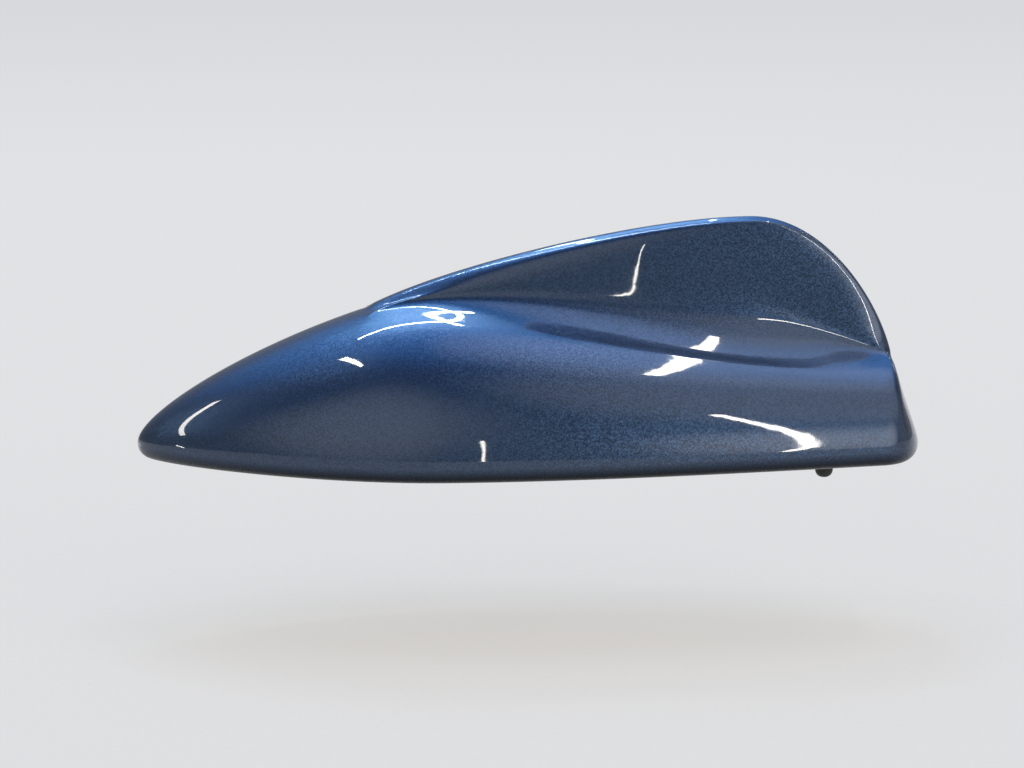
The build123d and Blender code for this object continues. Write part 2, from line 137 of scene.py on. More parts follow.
def helix(levels, pitch, around):
    """Height of a thread's flank, from 0 to 1, for rows at the levels given, round the axis."""
    phase = levels[:, None] / pitch - np.arange(around)[None, :] / around
    return 1 - np.abs(2 * (phase % 1) - 1)


def place_piece(name, mesh, node, slot, *materials):
    """Puts a finished mesh into the scene in place of a node of the frame."""
    for material in materials:
        mesh.materials.append(material)
    piece = bpy.data.objects.new(name, mesh)
    bpy.context.scene.collection.objects.link(piece)
    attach(piece, "root")
    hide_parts(node)


bush_radius = 4.5
bush_top, bush_bottom = 7.0, -3.5
bush_chamfer = 0.2
groove_radius = 4.0
groove_top, groove_bottom = 2.4, 1.2
groove_slope = 0.5
mouth_radius = 3.1
thread_radius = 2.5
thread_depth = 0.5
thread_pitch = 1.0
thread_start, thread_end = -2.8, 5.2
bore_end = 5.5
bush_around = 64
bush_outside = np.array([
    (0, bush_top),
    (bush_radius - bush_chamfer, bush_top),
    (bush_radius, bush_top - bush_chamfer),
    (bush_radius, groove_top + groove_slope),
    (groove_radius, groove_top),
    (groove_radius, groove_bottom),
    (bush_radius, groove_bottom - groove_slope),
    (bush_radius, bush_bottom + bush_chamfer),
    (bush_radius - bush_chamfer, bush_bottom),
    (mouth_radius, bush_bottom),
    (thread_radius, bush_bottom + mouth_radius - thread_radius),
])
bore_levels = np.linspace(thread_start, thread_end, 97)
fade = np.clip(np.minimum(bore_levels - thread_start, thread_end - bore_levels), 0, 1)
bore_radii = thread_radius + thread_depth * fade[:, None] * helix(bore_levels, thread_pitch, bush_around)
bush_end = np.array([(thread_radius, bore_end), (0, bore_end)])
flat = np.ones((1, bush_around))
bush_radii = np.concatenate([bush_outside[:, :1] * flat, bore_radii, bush_end[:, :1] * flat])
bush_levels = [bush_outside[:, 1:] * flat, bore_levels[:, None] * flat, bush_end[:, 1:] * flat]
bush = turned("brass_bush", bush_radii, np.concatenate(bush_levels))

rings_per_metre = 1200
brass = finish("insert_brass", (0.62, 0.44, 0.17), (0.80, 0.62, 0.30),
               grain=0.0015, roughness=0.28, metallic=1.0, depth=0.000004)
nodes, links = brass.node_tree.nodes, brass.node_tree.links
tool_rings = nodes.new("ShaderNodeTexWave")
tool_rings.wave_type = "RINGS"
tool_rings.rings_direction = "Z"
tool_rings.inputs["Scale"].default_value = rings_per_metre
links.new(nodes["Texture Coordinate"].outputs["Object"], tool_rings.inputs["Vector"])
links.new(tool_rings.outputs["Fac"], nodes["relief"].inputs["Height"])
place_piece("brass_bush", bush, "threaded_insert", "insert_brass", brass)

# Lead sockets: two black moulded bodies under the board, each with a plated shell and a gilt pin inside.
# The plugs of the two leads push in from below. The patch aerial's pin is gilt in the same way.
socket_plastic = finish("socket_plastic", (0.030, 0.030, 0.034), (0.048, 0.048, 0.054),
                        grain=0.0008, roughness=0.42, metallic=0.0, depth=0.00001)
dress(socket_plastic, "front_socket", "rear_socket")
shell_plating = finish("shell_plating", (0.55, 0.53, 0.48), (0.74, 0.72, 0.67),
                       grain=0.0008, roughness=0.26, metallic=1.0, depth=0.000003)
dress(shell_plating, "socket_shells")
gilding = finish("gilding", (0.72, 0.54, 0.20), (0.88, 0.72, 0.36),
                 grain=0.0006, roughness=0.22, metallic=1.0, depth=0.000002)
dress(gilding, "socket_pins", "patch_pin")


# Boards: green glass-fibre laminate, the main one lying on the stand-offs and the other standing up into the
# fin. Copper tracks show as paler lines through the solder mask.
def laminate(name, cell):
    """Board finish with tracks on a grid of the cell size given in metres."""
    track_share = 0.07
    track_length = 1.8
    material = finish(name, (0.012, 0.085, 0.034), (0.020, 0.125, 0.050),
                      grain=0.0012, roughness=0.38, metallic=0.0, depth=0.000004)
    nodes, links = material.node_tree.nodes, material.node_tree.links
    tracks = nodes.new("ShaderNodeTexBrick")
    tracks.offset = 0.37
    tracks.inputs["Color2"].default_value = (0.010, 0.075, 0.030, 1)
    tracks.inputs["Mortar"].default_value = (0.045, 0.22, 0.085, 1)
    tracks.inputs["Scale"].default_value = 1.0
    tracks.inputs["Mortar Size"].default_value = cell * track_share
    tracks.inputs["Brick Width"].default_value = cell * track_length
    tracks.inputs["Row Height"].default_value = cell
    links.new(nodes["Texture Coordinate"].outputs["Object"], tracks.inputs["Vector"])
    links.new(nodes["Color Ramp"].outputs["Color"], tracks.inputs["Color1"])
    links.new(tracks.outputs["Color"], nodes["Principled BSDF"].inputs["Base Color"])
    return material


dress(laminate("main_laminate", 0.003), "main_board")
dress(laminate("fin_laminate", 0.0045), "fin_board")

# What stands on the main board: the ceramic patch, the drawn can over the amplifier, the clips of the fin
# board, the coil on its former and the bent sheet aerial, all soldered down.
ceramic = finish("fired_ceramic", (0.60, 0.54, 0.46), (0.76, 0.70, 0.61),
                 grain=0.0009, roughness=0.50, metallic=0.0, depth=0.00001)
dress(ceramic, "patch_antenna")
tin = finish("tinned_sheet", (0.52, 0.53, 0.54), (0.70, 0.71, 0.72),
             grain=0.0025, roughness=0.34, metallic=1.0, depth=0.000006)
dress(tin, "shield_can")
spring = finish("spring_sheet", (0.56, 0.43, 0.20), (0.72, 0.58, 0.31),
                grain=0.0010, roughness=0.30, metallic=1.0, depth=0.000004)
dress(spring, "fin_board_clips")
aerial_sheet = finish("bent_sheet", (0.60, 0.50, 0.29), (0.76, 0.66, 0.43),
                      grain=0.0014, roughness=0.30, metallic=1.0, depth=0.000004)
dress(aerial_sheet, "rear_antenna")
former = finish("natural_moulding", (0.68, 0.65, 0.58), (0.80, 0.78, 0.72),
                grain=0.0010, roughness=0.48, metallic=0.0, depth=0.00001)
dress(former, "coil_former")
wire = finish("enamelled_wire", (0.46, 0.17, 0.07), (0.66, 0.30, 0.14),
              grain=0.0005, roughness=0.30, metallic=1.0, depth=0.000002)
wire.node_tree.nodes["Principled BSDF"].inputs["Coat Weight"].default_value = 0.6
dress(wire, "coil_winding")


# Board screws: four small zinc-plated screws with a six-lobed drive, which hold the main board to the
# stand-offs. One screw is modelled and set at each place.
def screw_mesh(name, head, head_height, drive, shank, reach, pitch):
    """A screw with its drive at the bottom, radii and lengths in millimetres, the reach with the head."""
    around = 48
    lobe = 0.16
    thread_cut = 0.22
    thread_gap, point_length = 0.2, 1.2
    drive_depth = 0.55 * head_height
    ones = np.ones((1, around))
    lobes = drive * (1 + lobe * np.cos(6 * 2 * np.pi * np.arange(around) / around))[None, :]
    levels = np.arange(head_height + thread_gap, reach - point_length, pitch / 8)
    cut = thread_cut * shank * (1 - helix(levels, pitch, around))

    # Radius and level of each ring: floor of the drive, head, thread and point
    rows = (
        (0, drive_depth),
        (0.86 * lobes, drive_depth),
        (lobes, 0),
        (head - 0.35, 0),
        (head - 0.1, 0.12),
        (head, 0.4),
        (head, head_height),
        (shank, head_height),
        (shank - cut, levels[:, None]),
        (0.72 * shank, reach - 0.9),
        (0.3 * shank, reach - 0.1),
        (0, reach),
    )
    radii = np.concatenate([radius * ones for radius, _ in rows])
    return turned(name, radii, np.concatenate([level * ones for _, level in rows]))


def set_at(name, screw, places, material):
    """One mesh with the screw at each place in millimetres, made with an instancing node tree."""
    template = bpy.data.objects.new(name + "_one", screw)
    points = bpy.data.meshes.new(name)
    points.from_pydata([[c / 1000 for c in place] for place in places], [], [])
    holder = bpy.data.objects.new(name + "_places", points)
    bpy.context.scene.collection.objects.link(template)
    bpy.context.scene.collection.objects.link(holder)
    tree = bpy.data.node_groups.new(name, "GeometryNodeTree")
    tree.interface.new_socket("Places", in_out="INPUT", socket_type="NodeSocketGeometry")
    screw_socket = tree.interface.new_socket("Screw", in_out="INPUT", socket_type="NodeSocketObject")
    finish_socket = tree.interface.new_socket("Finish", in_out="INPUT", socket_type="NodeSocketMaterial")
    tree.interface.new_socket("Screws", in_out="OUTPUT", socket_type="NodeSocketGeometry")
    given = tree.nodes.new("NodeGroupInput")
    result = tree.nodes.new("NodeGroupOutput")
    shape = tree.nodes.new("GeometryNodeObjectInfo")
    spread = tree.nodes.new("GeometryNodeInstanceOnPoints")
    solid = tree.nodes.new("GeometryNodeRealizeInstances")
    coat = tree.nodes.new("GeometryNodeSetMaterial")
    tree.links.new(given.outputs["Screw"], shape.inputs["Object"])
    tree.links.new(given.outputs["Places"], spread.inputs["Points"])
    tree.links.new(shape.outputs["Geometry"], spread.inputs["Instance"])
    tree.links.new(spread.outputs["Instances"], solid.inputs["Geometry"])
    tree.links.new(solid.outputs["Geometry"], coat.inputs["Geometry"])
    tree.links.new(given.outputs["Finish"], coat.inputs["Material"])
    tree.links.new(coat.outputs["Geometry"], result.inputs["Screws"])
    modifier = holder.modifiers.new("screws", "NODES")
    modifier.node_group = tree
    modifier[screw_socket.identifier] = template
    modifier[finish_socket.identifier] = material
    seen = holder.evaluated_get(bpy.context.evaluated_depsgraph_get())
    mesh = bpy.data.meshes.new_from_object(seen)
    holder.modifiers.remove(modifier)
    bpy.data.objects.remove(holder)
    bpy.data.objects.remove(template)
    return mesh


zinc = finish("zinc_plating", (0.48, 0.48, 0.47), (0.66, 0.66, 0.65),
              grain=0.0006, roughness=0.32, metallic=1.0, depth=0.000004)
board_screw_top = 11.1
board_places = [(x, side * y, board_screw_top) for x, y in ((-50, 7), (46, 9)) for side in (-1, 1)]
short_screw = screw_mesh("short_screw", head=2.1, head_height=1.5, drive=0.9,
                         shank=1.05, reach=7.0, pitch=0.8)
short_screw.transform(Matrix.Rotation(math.pi, 4, "X"))
board_screws = set_at("board_screw_set", short_screw, board_places, zinc)
place_piece("board_screw_set", board_screws, "board_screws", "screw_steel")

# Cover: a moulded shell, a low pod that runs up into a thin fin, with a turned-under rim and six screw bosses
# inside. It is painted: flakes lie at odd angles in the blue coat, under clear lacquer with the faint ripple
# of spraying, which thins out under the rim, where the colour also darkens as painted shade. Its sizes are in
# millimetres until the mesh is made.
nose_x, tail_x = -80.0, 85.0
half_width = 33.2
cover_height = 50.5
rim_top = 3.4
rim_radius = 3.2
rim_wall = 4.5
brow_reach, brow_height, brow_slope = 47.0, 31.0, 18.5
crest_back = 35.5
heel_back, heel_height, heel_lean = 5.4, 21.0, 12.4
heel_ease, heel_reach = 0.7, 2.4
widest_reach = 64.0
corner_back, corner_half, corner_turn = 9.0, 19.6, 12.4
fan_front, fan_rear = nose_x + 44.0, tail_x - 53.0
fan_depth = 16.0
row_floor = rim_top - 12.0
fin_thickest = tail_x - 59.0
fin_foot = 5.9
fin_ridge_middle, fin_ridge_rear = 4.2, 2.2
fin_taper_front, fin_taper_rear = 0.3, 0.5
fin_round_middle, fin_round_crest, fin_round_rear = 2.1, 2.8, 0.9
fin_onset, fin_least = 1.2, 0.8
foot_blend = 6.2
slim_below = 22.0


def handle(point, angle, reach):
    """Control point at a distance from a guide's end, in a direction given in degrees."""
    way = math.radians(angle)
    return (point[0] + reach * math.cos(way), point[1] + reach * math.sin(way))


def along_guide(guide, t):
    """Points of a cubic guide at an array of parameters from 0 to 1."""
    s = 1 - t
    weights = np.stack([s**3, 3 * s * s * t, 3 * s * t * t, t**3], axis=1)
    return weights @ np.array(guide)


def side_guides(inset, drop):
    """The cover from the side: nose, back of the pod, tail, and the fin's front and rear edges."""
    nose = (nose_x + inset, rim_top)
    brow = (nose_x + brow_reach, brow_height - drop)
    crest = (tail_x - crest_back, cover_height - drop)
    heel = (tail_x - heel_back - 0.8 * inset, heel_height - drop)
    tail = (tail_x - inset, rim_top)
    return (
        [nose, handle(nose, 90, 5.8), handle(brow, 180 + brow_slope, 27.4), brow],
        [brow, handle(brow, brow_slope, 20.0), handle(heel, 172.8, 55.4), heel],
        [heel, handle(heel, heel_lean - 90, 6.0), handle(tail, 90, 1.5), tail],
        [brow, handle(brow, 31.0, 16.0), handle(crest, 180, 24.0), crest],
        [crest, handle(crest, 0, 16.0), handle(heel, heel_lean + 90, 11.0), heel],
    )


def plan_guides(inset):
    """Half of the rim from above: nose, flank and tail."""
    nose = (nose_x + inset, 0.0)
    widest = (nose_x + widest_reach, half_width - inset)
    corner = (tail_x - corner_back - 0.5 * inset, corner_half - inset)
    tail = (tail_x - inset, 0.0)
    return (
        [nose, handle(nose, 90, 8.0), handle(widest, 180, 30.0), widest],
        [widest, handle(widest, 0, 30.0), handle(corner, 180 - corner_turn, 30.0), corner],
        [corner, handle(corner, -corner_turn, 5.8), handle(tail, 90, corner[1] - 5.8), tail],
    )


def rim_outline(inset, count):
    """Points along half of the rim from above, with the number given on each guide."""
    even = np.linspace(0, 1, count)
    return np.concatenate([along_guide(guide, even) for guide in plan_guides(inset)])


def pod_spine(nose, back, tail):
    """The pod's top line without the fin: places from nose to tail and heights, eased at the heel."""
    even = np.linspace(0, 1, 400)
    pod = np.concatenate([along_guide(guide, even) for guide in (nose, back, tail)])
    places = np.linspace(pod[0, 0], pod[-1, 0], 4001)
    heights = np.interp(places, pod[:, 0], pod[:, 1])
    shifts = np.linspace(-heel_ease, heel_ease, 29)
    eased = np.mean([np.interp(places + shift, places, heights) for shift in shifts], axis=0)
    near_heel = np.clip(heel_reach - np.abs(places - tail[0][0]), 0, 1)
    return places, heights + near_heel * (eased - heights)


def smooth_line(points, params):
    """Rows of points joined by cubic splines with even knots, read off at parameters for each row."""
    n = points.shape[1]
    system = np.diag(np.full(n, 4.0)) + np.diag(np.ones(n - 1), 1) + np.diag(np.ones(n - 1), -1)
    system[0, :2] = system[-1, -2:] = 0
    system[0, 0] = system[-1, -1] = 1
    slopes = np.zeros_like(points)
    slopes[:, 1:-1] = 3 * (points[:, 2:] - points[:, :-2])
    slopes[:, 0] = 2 * (points[:, 1] - points[:, 0]) - (points[:, 2] - points[:, 0]) / 2
    slopes[:, -1] = 2 * (points[:, -1] - points[:, -2]) - (points[:, -1] - points[:, -3]) / 2
    slopes = np.einsum("ij,sjk->sik", np.linalg.inv(system), slopes)
    span = np.clip(params.astype(int), 0, n - 2)
    rows = np.arange(len(points))[:, None]
    t = (params - span)[..., None]
    p0, p1 = points[rows, span], points[rows, span + 1]
    m0, m1 = slopes[rows, span], slopes[rows, span + 1]
    return (
        (2 * t**3 - 3 * t**2 + 1) * p0 + (t**3 - 2 * t**2 + t) * m0
        + (3 * t**2 - 2 * t**3) * p1 + (t**3 - t**2) * m1
    )


def half_shell(inset, drop, fin_inset, steps, points_up):
    """Half of the cover's outside or of its hollow: rows of points from the rim's top up to the ridge.

    Each row lies in a plane that stands upright along the middle and fans out over the nose and the tail.
    """
    nose, back, tail, front, rear = side_guides(inset, drop)
    brow_x, crest_x, heel_x = front[0][0], rear[0][0], rear[3][0]
    places, heights = pod_spine(nose, back, tail)
    plan = rim_outline(inset, 400)

    # The rows' ends on the ridge, and their planes
    ends = [np.linspace(0, 1, n, endpoint=False) for n in steps]
    stations = [along_guide(guide, t) for guide, t in zip((nose, front, rear, tail), ends)]
    stations = np.concatenate(stations + [np.array([tail[3]])])
    x, z = stations[:, :1], stations[:, 1:]
    pivot = np.clip(x, fan_front, fan_rear)
    lean = (x - pivot) / (z + fan_depth)
    stretch = np.hypot(1, lean)
    foot = pivot + lean * (row_floor + fan_depth)
    top = (z - row_floor) * stretch

    def side(up):
        """Half-width of the pod at a distance up each row's plane."""
        px = foot + lean * up / stretch
        rise = np.maximum(row_floor + up / stretch - rim_top, 0)
        spine = np.interp(px, places, heights, left=0, right=0)
        wide = np.interp(px, plan[:, 0], plan[:, 1], left=0, right=0)
        return wide * np.sqrt(np.maximum(0, 1 - (rise / np.maximum(spine - rim_top, 0.01)) ** 2))

    def up_to(across):
        """How far up each row's plane the pod is still as wide as given."""
        low, high = np.zeros_like(top), top.copy()
        for _ in range(40):
            middle = (low + high) / 2
            wider = side(middle) > across
            low, high = np.where(wider, middle, low), np.where(wider, high, middle)
        return low

    # The fin's height and its half-widths, which taper from the thickest place to both ends
    fin = top - up_to(0.0)
    slim = np.minimum(1, side(np.zeros_like(top)) / slim_below)
    behind = x > fin_thickest
    run = np.where(behind, heel_x - fin_thickest, fin_thickest - brow_x)
    taper = np.where(behind, fin_taper_rear, fin_taper_front)
    lens = 1 - taper * np.minimum(1, np.abs(x - fin_thickest) / run) ** 2
    root = (fin_foot - fin_inset) * lens * slim
    half_ridge = np.interp(x, (fin_thickest, heel_x), (fin_ridge_middle, fin_ridge_rear))
    ridge = (half_ridge - fin_inset) * lens * slim
    shoulder = root + foot_blend * slim

    # The pod from the rim to the fin's shoulder, with the length run along it
    rises = up_to(shoulder) * np.sin(np.pi / 2 * np.linspace(0, 1, 401))
    pod_rows = np.stack([side(rises), rises], axis=2)
    runs = np.cumsum(np.hypot(*np.moveaxis(np.diff(pod_rows, axis=1), 2, 0)), axis=1)
    runs = np.concatenate([np.zeros_like(top), runs], axis=1)

    def along_pod(shares):
        """Points on each row's pod, at shares of its length up to the shoulder."""
        points = [
            [np.interp(share * r[-1], r, row[:, k]) for k in (0, 1)]
            for share, r, row in zip(shares, runs, pod_rows)
        ]
        return np.moveaxis(np.array(points), 1, 2)

    # Knots of each row: evenly up the pod, then up the fin's flank and over its rounded ridge
    pod_spans = 8
    pod_knots = along_pod(np.broadcast_to(np.linspace(0, 1, pod_spans + 1), (len(x), pod_spans + 1)))
    rounding = (fin_round_middle, fin_round_crest, fin_round_rear)
    soft = np.interp(x, (fin_thickest, crest_x, heel_x), rounding)
    sag = soft * fin / (fin + soft)
    grown = fin / (fin + fin_onset)
    flank = (
        (root, 0.18 * fin),
        (ridge + 0.35 * (root - ridge), 0.5 * fin),
        (ridge, fin - sag),
        (0.55 * ridge, fin - 0.2 * sag),
        (0 * ridge, fin),
    )
    fin_spans = len(flank)
    fin_knots = []
    for i, (target, lift) in enumerate(flank):
        plain = shoulder * (1 - (i + 1) / fin_spans)
        across = plain + grown * (target - plain)
        fin_knots.append(np.concatenate([across, up_to(across) + lift], axis=1))
    knots = np.concatenate([pod_knots, np.stack(fin_knots, axis=1)], axis=1)

    # Points of each row from the rim's top upwards
    last = pod_spans + fin_spans
    fine = 40
    tried = np.broadcast_to(np.linspace(0, last, fine * last + 1), (len(x), fine * last + 1))
    height = row_floor + smooth_line(knots, tried)[..., 1] / stretch
    above = np.argmax(height >= rim_top, axis=1)
    first = np.maximum(above - 1, 0)[:, None] / fine
    params = first + (last - first) * np.linspace(0, 1, points_up)
    rows = smooth_line(knots, params)

    # The rows keep to the plain pod below the shoulder, and all the way up where there is hardly any fin
    plain = shoulder * np.clip(1 - (params - pod_spans) / fin_spans, 0, 1)
    bare_top = np.stack([plain, up_to(plain)], axis=2)
    bare = np.where(params[..., None] <= pod_spans, along_pod(params / pod_spans), bare_top)
    blend_end, blend_run = pod_spans - 0.1, 1.2
    low_down = np.clip((blend_end - params) / blend_run, 0, 1)
    no_fin = np.clip(1 - fin / fin_least, 0, 1)
    keep = np.maximum(low_down, no_fin)[..., None]
    rows = rows + keep * keep * (3 - 2 * keep) * (bare - rows)

    across, up = rows[..., 0], rows[..., 1]
    shell = np.stack([foot + lean * up / stretch, across, row_floor + up / stretch], axis=2)
    shell[:, 0, 2] = rim_top
    shell[:, -1, 1] = 0
    shell[[0, -1]] = [[nose[0][0], 0, rim_top]], [[tail[3][0], 0, rim_top]]
    return shell


def rim_normals(line):
    """Outward directions across the rim, at points that lie on its outline."""
    plan = rim_outline(0.0, 2000)
    way = np.gradient(plan, axis=0)
    nearest = [np.argmin(((plan - point) ** 2).sum(axis=1)) for point in line]
    out = np.stack([-way[nearest, 1], way[nearest, 0]], axis=1)
    out[[0, -1]] = (-1, 0), (1, 0)
    return out / np.linalg.norm(out, axis=1, keepdims=True)


row_counts = (70, 60, 80, 60)
outside = half_shell(inset=0.0, drop=0.0, fin_inset=0.0, steps=row_counts, points_up=90)
inside = half_shell(inset=4.2, drop=2.4, fin_inset=2.0, steps=row_counts, points_up=30)
rim_line = outside[:, 0, :2]
outward = rim_normals(rim_line)

# The rim in section: inner wall, narrow flat underside and rounded outer edge, where the paint begins
edge = [(rim_wall, rim_top), (rim_wall, 0.0)]
for angle in np.linspace(np.pi / 2, 0, 9):
    edge.append((rim_radius * (1 - math.cos(angle)), rim_radius * (1 - math.sin(angle))))
rim_rows = []
for depth, level in edge:
    rim_rows.append(np.column_stack([rim_line - depth * outward, np.full(len(rim_line), level)]))
profile = np.concatenate([inside[:, ::-1], np.stack(rim_rows, axis=1), outside], axis=1) / 1000
painted, unpainted = 0, 1
painted_from = inside.shape[1] + 2
shell = bmesh.new()
for flip in (1, -1):
    grid = [[shell.verts.new((x, flip * y, z)) for x, y, z in row] for row in profile]
    for low, high in zip(grid, grid[1:]):
        for j in range(len(low) - 1):
            face = shell.faces.new((low[j], high[j], high[j + 1], low[j + 1]))
            face.smooth = True
            face.material_index = painted if j >= painted_from else unpainted

# The bosses: closed posts with a pilot hole, from the plate's top up into the wall over them
plate_top = 4.8
boss_radius = 3.2
boss_from_edge = 11.5
boss_sink = 0.9
pilot_radius = 1.3
pilot_depth = 7.0
plan = rim_outline(0.0, 400)
boss_places = []
for x in (-55.0, -5.0, 50.0):
    across = np.interp(x, plan[:, 0], plan[:, 1]) - boss_from_edge
    boss_places += [(x, across), (x, -across)]
roof = np.concatenate([inside.reshape(-1, 3), inside.reshape(-1, 3) * (1, -1, 1)])
boss_angles = np.linspace(0, 2 * np.pi, 32, endpoint=False)
boss_circle = np.column_stack([np.cos(boss_angles), np.sin(boss_angles)])
for place in boss_places:
    rings = []
    for radius, reach in (
        (0, None), (boss_radius, None), (boss_radius, 0), (pilot_radius, 0),
        (pilot_radius, pilot_depth), (0, pilot_depth),
    ):
        ring = np.array(place) + radius * boss_circle
        if reach is None:
            over = [np.argmin(((roof[:, :2] - point) ** 2).sum(axis=1)) for point in ring]
            levels = roof[over, 2] + boss_sink
        else:
            levels = np.full(len(ring), plate_top + reach)
        rings.append([shell.verts.new(point) for point in np.column_stack([ring, levels]) / 1000])
    for low, high in zip(rings, rings[1:]):
        for i in range(len(boss_circle)):
            k = (i + 1) % len(boss_circle)
            shell.faces.new((low[i], low[k], high[k], high[i])).material_index = unpainted
bmesh.ops.remove_doubles(shell, verts=shell.verts, dist=1e-6)
bmesh.ops.dissolve_degenerate(shell, edges=shell.edges, dist=1e-7)
bmesh.ops.recalc_face_normals(shell, faces=shell.faces)
cover_mesh = bpy.data.meshes.new("painted_cover")
shell.to_mesh(cover_mesh)
shell.free()

flake_size = 0.00022
flake_tilt = 0.16
paint_deep = (0.016, 0.034, 0.072, 1)
paint_light = (0.032, 0.065, 0.132, 1)
# The dark colour under the rim stands partly for thinner paint and partly for painted shade
thin_paint_and_shade_colour = (0.005, 0.008, 0.014, 1)
bare_lacquer = 0.05
paint_ends, paint_full = 0.0010, rim_top / 1000
ripples_per_metre = 300
cover_paint = bpy.data.materials.new("cover_paint")
cover_paint.use_nodes = True
nodes, links = cover_paint.node_tree.nodes, cover_paint.node_tree.links
shader = nodes["Principled BSDF"]
shader.inputs["Metallic"].default_value = 0.9
shader.inputs["Roughness"].default_value = 0.36
shader.inputs["Coat Roughness"].default_value = 0.03
place = nodes.new("ShaderNodeTexCoord")
flakes = nodes.new("ShaderNodeTexVoronoi")
flakes.inputs["Scale"].default_value = 1 / flake_size
links.new(place.outputs["Object"], flakes.inputs["Vector"])

# Each flake has its own tone; under the rim the coat thins out, and its colour darkens there as painted shade
pick = nodes.new("ShaderNodeSeparateColor")
links.new(flakes.outputs["Color"], pick.inputs["Color"])
tone = nodes.new("ShaderNodeValToRGB")
tone.color_ramp.elements[0].position = 0.15
tone.color_ramp.elements[0].color = paint_deep
tone.color_ramp.elements[1].position = 0.85
tone.color_ramp.elements[1].color = paint_light
links.new(pick.outputs["Red"], tone.inputs["Fac"])
level = nodes.new("ShaderNodeSeparateXYZ")
links.new(place.outputs["Object"], level.inputs["Vector"])
paint_coverage_and_shade = nodes.new("ShaderNodeMapRange")
lacquer = nodes.new("ShaderNodeMapRange")
for layer in (paint_coverage_and_shade, lacquer):
    layer.inputs["From Min"].default_value = paint_ends
    layer.inputs["From Max"].default_value = paint_full
    links.new(level.outputs["Z"], layer.inputs["Value"])
lacquer.inputs["To Min"].default_value = bare_lacquer
links.new(lacquer.outputs["Result"], shader.inputs["Coat Weight"])

# The names of a colour mix node's sockets repeat, so they go by number
mix_share, mix_first, mix_second, mix_result = 0, 6, 7, 2
# Mixes the flakes' tone towards the dark colour low on the rim: thinner paint there, and painted shade
thinned_and_shaded = nodes.new("ShaderNodeMix")
thinned_and_shaded.data_type = "RGBA"
thinned_and_shaded.inputs[mix_first].default_value = thin_paint_and_shade_colour
links.new(paint_coverage_and_shade.outputs["Result"], thinned_and_shaded.inputs[mix_share])
links.new(tone.outputs["Color"], thinned_and_shaded.inputs[mix_second])
links.new(thinned_and_shaded.outputs[mix_result], shader.inputs["Base Color"])

# Each flake leans its own way, and the lacquer over them ripples
centred = nodes.new("ShaderNodeVectorMath")
centred.operation = "SUBTRACT"
centred.inputs[1].default_value = (0.5, 0.5, 0.5)
links.new(flakes.outputs["Color"], centred.inputs[0])
tilted = nodes.new("ShaderNodeVectorMath")
tilted.operation = "SCALE"
tilted.inputs["Scale"].default_value = flake_tilt
links.new(centred.outputs["Vector"], tilted.inputs[0])
facing = nodes.new("ShaderNodeNewGeometry")
leaning = nodes.new("ShaderNodeVectorMath")
leaning.operation = "ADD"
links.new(facing.outputs["Normal"], leaning.inputs[0])
links.new(tilted.outputs["Vector"], leaning.inputs[1])
unit = nodes.new("ShaderNodeVectorMath")
unit.operation = "NORMALIZE"
links.new(leaning.outputs["Vector"], unit.inputs[0])
links.new(unit.outputs["Vector"], shader.inputs["Normal"])
ripple = nodes.new("ShaderNodeTexNoise")
ripple.inputs["Scale"].default_value = ripples_per_metre
ripple.inputs["Detail"].default_value = 1
links.new(place.outputs["Object"], ripple.inputs["Vector"])
peel = nodes.new("ShaderNodeBump")
peel.inputs["Strength"].default_value = 0.02
peel.inputs["Distance"].default_value = 0.00025
links.new(ripple.outputs["Fac"], peel.inputs["Height"])
links.new(peel.outputs["Normal"], shader.inputs["Coat Normal"])
raw_plastic = finish("raw_plastic", (0.016, 0.016, 0.018), (0.026, 0.026, 0.028),
                     grain=0.001, roughness=0.55, metallic=0.0, depth=0.00002)
place_piece("painted_cover", cover_mesh, "cover", "cover_paint", cover_paint, raw_plastic)

# Cover screws: six longer screws of the same make, driven from below through the plate into the cover's
# bosses. Their heads sit sunk in the plate.
cover_screw_bottom = 1.4
cover_places = [(x, y, cover_screw_bottom) for x, y in boss_places]
long_screw = screw_mesh("long_screw", head=2.5, head_height=2.0, drive=1.15,
                        shank=1.25, reach=10.2, pitch=1.0)
cover_screws = set_at("cover_screw_set", long_screw, cover_places, zinc)
place_piece("cover_screw_set", cover_screws, "cover_screws", "screw_steel")

# Studio: a pale table in a dim room, with soft light from the right, cooler daylight from behind and a few
# warm tubes round the table, which the lacquer mirrors.
table_gap = 0.03
table_width = 1.9
table_front, table_back = -0.56, 2.20
table_glow = 0.57
floor_place = (0, (table_front + table_back) / 2, cad_box[0][2] - table_gap)
bpy.ops.mesh.primitive_plane_add(size=1, location=floor_place)
floor = bpy.context.object
floor.name = "floor"
floor.data.transform(Matrix.Diagonal((table_width, table_back - table_front, 1, 1)))
table = finish("table", (0.206, 0.196, 0.180), (0.218, 0.207, 0.191),
               grain=0.0015, roughness=0.85, metallic=0.0, depth=0.00001)
nodes, links = table.node_tree.nodes, table.node_tree.links
shader = nodes["Principled BSDF"]
shader.inputs["Specular IOR Level"].default_value = 0.0
shader.inputs["Emission Color"].default_value = (1.0, 0.972, 0.935, 1)

# The table's own glow shows to the eye and in mirrors, and lights nothing else
path = nodes.new("ShaderNodeLightPath")
seen = nodes.new("ShaderNodeMath")
seen.operation = "MAXIMUM"
links.new(path.outputs["Is Camera Ray"], seen.inputs[0])
links.new(path.outputs["Is Glossy Ray"], seen.inputs[1])
through = nodes.new("ShaderNodeMath")
through.operation = "MAXIMUM"
links.new(seen.outputs["Value"], through.inputs[0])
links.new(path.outputs["Is Transmission Ray"], through.inputs[1])
lift = nodes.new("ShaderNodeMath")
lift.operation = "MULTIPLY"
lift.inputs[1].default_value = table_glow
links.new(through.outputs["Value"], lift.inputs[0])
links.new(lift.outputs["Value"], shader.inputs["Emission Strength"])
floor.data.materials.append(table)


def towards(bearing, height):
    """Unit direction from the object, by bearing from the front to the right and by height, in degrees."""
    a, e = math.radians(bearing), math.radians(height)
    return Vector((math.sin(a) * math.cos(e), -math.cos(a) * math.cos(e), math.sin(e)))


